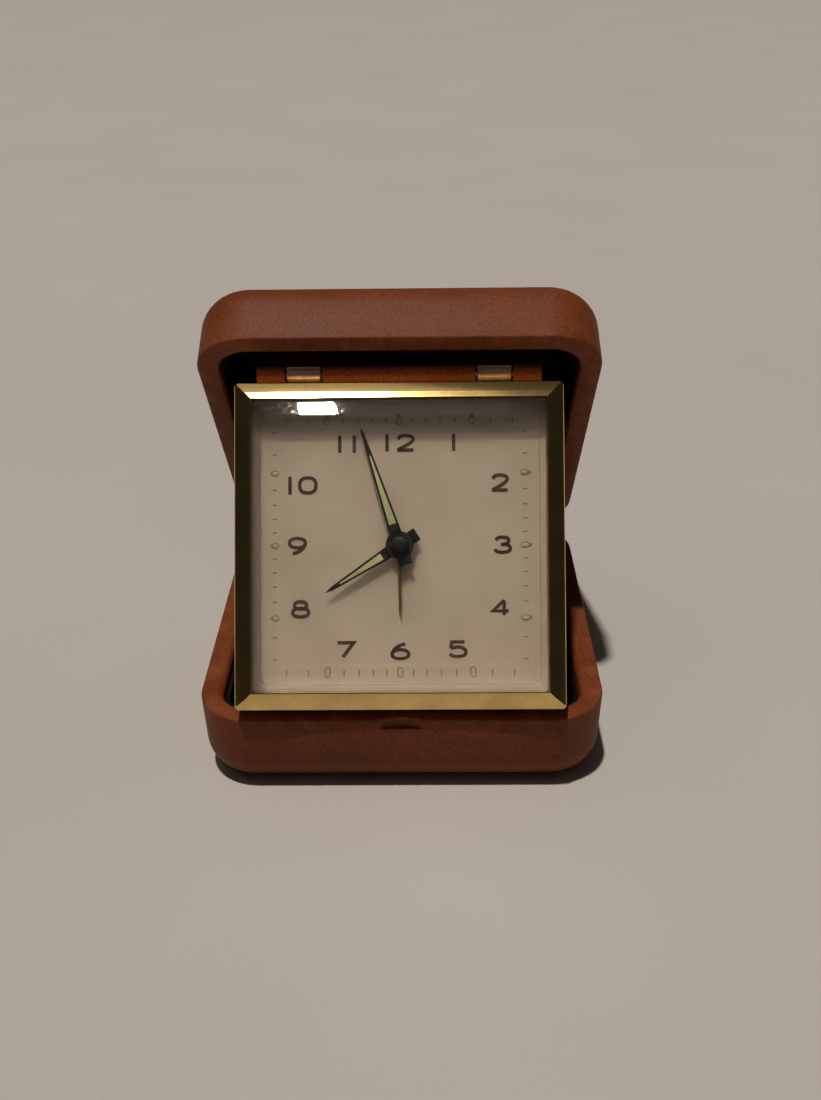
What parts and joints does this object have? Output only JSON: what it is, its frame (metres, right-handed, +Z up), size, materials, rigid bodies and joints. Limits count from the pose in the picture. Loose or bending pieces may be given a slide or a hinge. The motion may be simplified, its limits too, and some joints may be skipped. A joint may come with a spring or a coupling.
{
  "type": "travel alarm clock",
  "caption": "Folding clamshell travel alarm clock: a square hand-wound clock hinged in a two-shell case, standing open on its lower shell.",
  "frame": {"origin": "centre of the lower shell's flat underside", "axes": "+X right, +Y towards the case hinge, +Z up"},
  "size_m": [0.08, 0.0899, 0.0877],
  "materials": {
    "brown_plastic": "satin, fine leather-like grain",
    "black_lining": "matt flocked lining",
    "gilt": "polished gilt",
    "nickel": "satin nickel",
    "steel": "plain steel",
    "blued_steel": "blued spring steel",
    "brass": "plain brass",
    "clear_crystal": "clear moulded acrylic",
    "dial_cream": "matt cream print",
    "black_enamel": "semi-gloss black"
  },
  "bodies": {
    "base": {"lower_shell": "brown_plastic", "lower_liner": "black_lining", "case_hinge_pin_left": "steel", "case_hinge_pin_right": "steel"},
    "lid": {"upper_shell": "brown_plastic", "upper_liner": "black_lining", "hinge_bracket_left": "nickel", "hinge_bracket_right": "nickel", "clock_hinge_pin": "steel"},
    "clock": {"clock_housing": "brown_plastic", "bezel": "gilt", "crystal": "clear_crystal", "dial": "dial_cream", "movement_front_plate": "brass", "movement_back_plate": "brass", "pillar_1": "brass", "pillar_2": "brass", "pillar_3": "brass", "pillar_4": "brass", "alarm_gong": "blued_steel", "back_screw_upper": "steel", "back_screw_lower": "steel"},
    "minute_drive": {"centre_arbor": "steel", "cannon_pinion": "steel", "minute_hand": "black_enamel", "hand_nut": "black_enamel", "time_set_knob": "gilt"},
    "hour_drive": {"hour_wheel": "brass", "hour_hand": "black_enamel"},
    "minute_wheel": {"minute_wheel": "brass"},
    "centre_wheel": {"centre_wheel": "brass"},
    "third_wheel": {"third_wheel": "brass"},
    "fourth_wheel": {"fourth_wheel": "brass"},
    "escape_wheel": {"escape_wheel": "steel"},
    "pallet_lever": {"pallet_lever": "steel"},
    "balance": {"balance_wheel": "brass", "hairspring": "blued_steel"},
    "regulator": {"regulator_lever": "steel"},
    "time_barrel": {"time_barrel": "brass", "time_mainspring": "blued_steel"},
    "time_winder": {"time_winding_arbor": "steel", "time_winding_key": "gilt"},
    "alarm_drive": {"alarm_wheel": "brass", "alarm_hand": "brass"},
    "alarm_setter": {"alarm_set_arbor": "steel", "alarm_set_knob": "gilt"},
    "alarm_barrel": {"alarm_barrel": "brass", "alarm_mainspring": "blued_steel"},
    "alarm_winder": {"alarm_winding_arbor": "steel", "alarm_winding_key": "gilt"},
    "strike_wheel": {"alarm_strike_wheel": "brass"},
    "alarm_hammer": {"alarm_hammer": "steel"},
    "alarm_stop": {"alarm_stop_button": "black_enamel"}
  },
  "joints": [
    {"name": "case_hinge", "type": "hinge", "parent": "base", "child": "lid", "pos_m": [0, 0.0405, 0.017], "axis": [-1, 0, 0], "range_deg": [0, 125.85]},
    {"name": "clock_hinge", "type": "hinge", "parent": "lid", "child": "clock", "pos_m": [0, -0.00371, 0.07364], "axis": [1, 0, 0], "range_deg": [0, 66.85]},
    {"name": "time_set", "type": "hinge", "parent": "clock", "child": "minute_drive", "pos_m": [0, -0.01665, 0.04239], "axis": [0, 0.8572, -0.515], "continuous": true},
    {"name": "hour_turn", "type": "hinge", "parent": "clock", "child": "hour_drive", "pos_m": [0, -0.01665, 0.04239], "axis": [0, 0.8572, -0.515], "continuous": true},
    {"name": "minute_wheel_turn", "type": "hinge", "parent": "clock", "child": "minute_wheel", "pos_m": [0, -0.01974, 0.03725], "axis": [0, 0.8572, -0.515], "continuous": true},
    {"name": "fourth_wheel_turn", "type": "hinge", "parent": "clock", "child": "fourth_wheel", "pos_m": [-0.00682, -0.01207, 0.05002], "axis": [0, 0.8572, -0.515], "continuous": true},
    {"name": "third_wheel_turn", "type": "hinge", "parent": "clock", "child": "third_wheel", "pos_m": [-0.00585, -0.01491, 0.04529], "axis": [0, 0.8572, -0.515], "continuous": true},
    {"name": "centre_wheel_turn", "type": "hinge", "parent": "clock", "child": "centre_wheel", "pos_m": [0, -0.01665, 0.04239], "axis": [0, 0.8572, -0.515], "continuous": true},
    {"name": "escape_wheel_turn", "type": "hinge", "parent": "clock", "child": "escape_wheel", "pos_m": [-0.00214, -0.01067, 0.05234], "axis": [0, 0.8572, -0.515], "continuous": true},
    {"name": "time_barrel_turn", "type": "hinge", "parent": "clock", "child": "time_barrel", "pos_m": [0.00821, -0.0195, 0.03765], "axis": [0, 0.8572, -0.515], "continuous": true},
    {"name": "pallet_rock", "type": "hinge", "parent": "clock", "child": "pallet_lever", "pos_m": [0.0007, -0.00815, 0.05654], "axis": [0, 0.8572, -0.515], "range_deg": [-7, 7]},
    {"name": "balance_swing", "type": "hinge", "parent": "clock", "child": "balance", "pos_m": [0.0085, -0.00867, 0.05568], "axis": [0, 0.8572, -0.515], "range_deg": [-160, 160], "stiffness_Nm_per_rad": 0.00002},
    {"name": "regulator_turn", "type": "hinge", "parent": "clock", "child": "regulator", "pos_m": [0.0085, -0.00867, 0.05568], "axis": [0, 0.8572, -0.515], "range_deg": [-15, 15]},
    {"name": "time_wind", "type": "hinge", "parent": "clock", "child": "time_winder", "pos_m": [0.00821, -0.0195, 0.03765], "axis": [0, 0.8572, -0.515], "continuous": true},
    {"name": "alarm_hand_turn", "type": "hinge", "parent": "clock", "child": "alarm_drive", "pos_m": [0, -0.01665, 0.04239], "axis": [0, 0.8572, -0.515], "continuous": true},
    {"name": "alarm_set", "type": "hinge", "parent": "clock", "child": "alarm_setter", "pos_m": [0.00525, -0.01343, 0.04775], "axis": [0, 0.8572, -0.515], "continuous": true},
    {"name": "alarm_barrel_turn", "type": "hinge", "parent": "clock", "child": "alarm_barrel", "pos_m": [-0.013, -0.02051, 0.03596], "axis": [0, 0.8572, -0.515], "continuous": true},
    {"name": "strike_wheel_turn", "type": "hinge", "parent": "clock", "child": "strike_wheel", "pos_m": [-0.00489, -0.02344, 0.0311], "axis": [0, 0.8572, -0.515], "continuous": true},
    {"name": "alarm_wind", "type": "hinge", "parent": "clock", "child": "alarm_winder", "pos_m": [-0.013, -0.02051, 0.03596], "axis": [0, 0.8572, -0.515], "continuous": true},
    {"name": "hammer_swing", "type": "hinge", "parent": "clock", "child": "alarm_hammer", "pos_m": [0.0016, -0.0253, 0.02799], "axis": [0, 0.8572, -0.515], "range_deg": [0, 13]},
    {"name": "alarm_stop_press", "type": "slide", "parent": "clock", "child": "alarm_stop", "axis": [1, 0, 0], "range_m": [0, 0.0015]}
  ],
  "couplings": [
    {"joint": "hour_turn", "follows": "time_set", "ratio": 0.083333},
    {"joint": "minute_wheel_turn", "follows": "time_set", "ratio": -0.33333},
    {"joint": "third_wheel_turn", "follows": "fourth_wheel_turn", "ratio": -0.13333},
    {"joint": "centre_wheel_turn", "follows": "fourth_wheel_turn", "ratio": 0.016667},
    {"joint": "escape_wheel_turn", "follows": "fourth_wheel_turn", "ratio": -8},
    {"joint": "time_barrel_turn", "follows": "fourth_wheel_turn", "ratio": -0.0037037},
    {"joint": "alarm_set", "follows": "alarm_hand_turn", "ratio": -3},
    {"joint": "strike_wheel_turn", "follows": "alarm_barrel_turn", "ratio": -4.5}
  ]
}
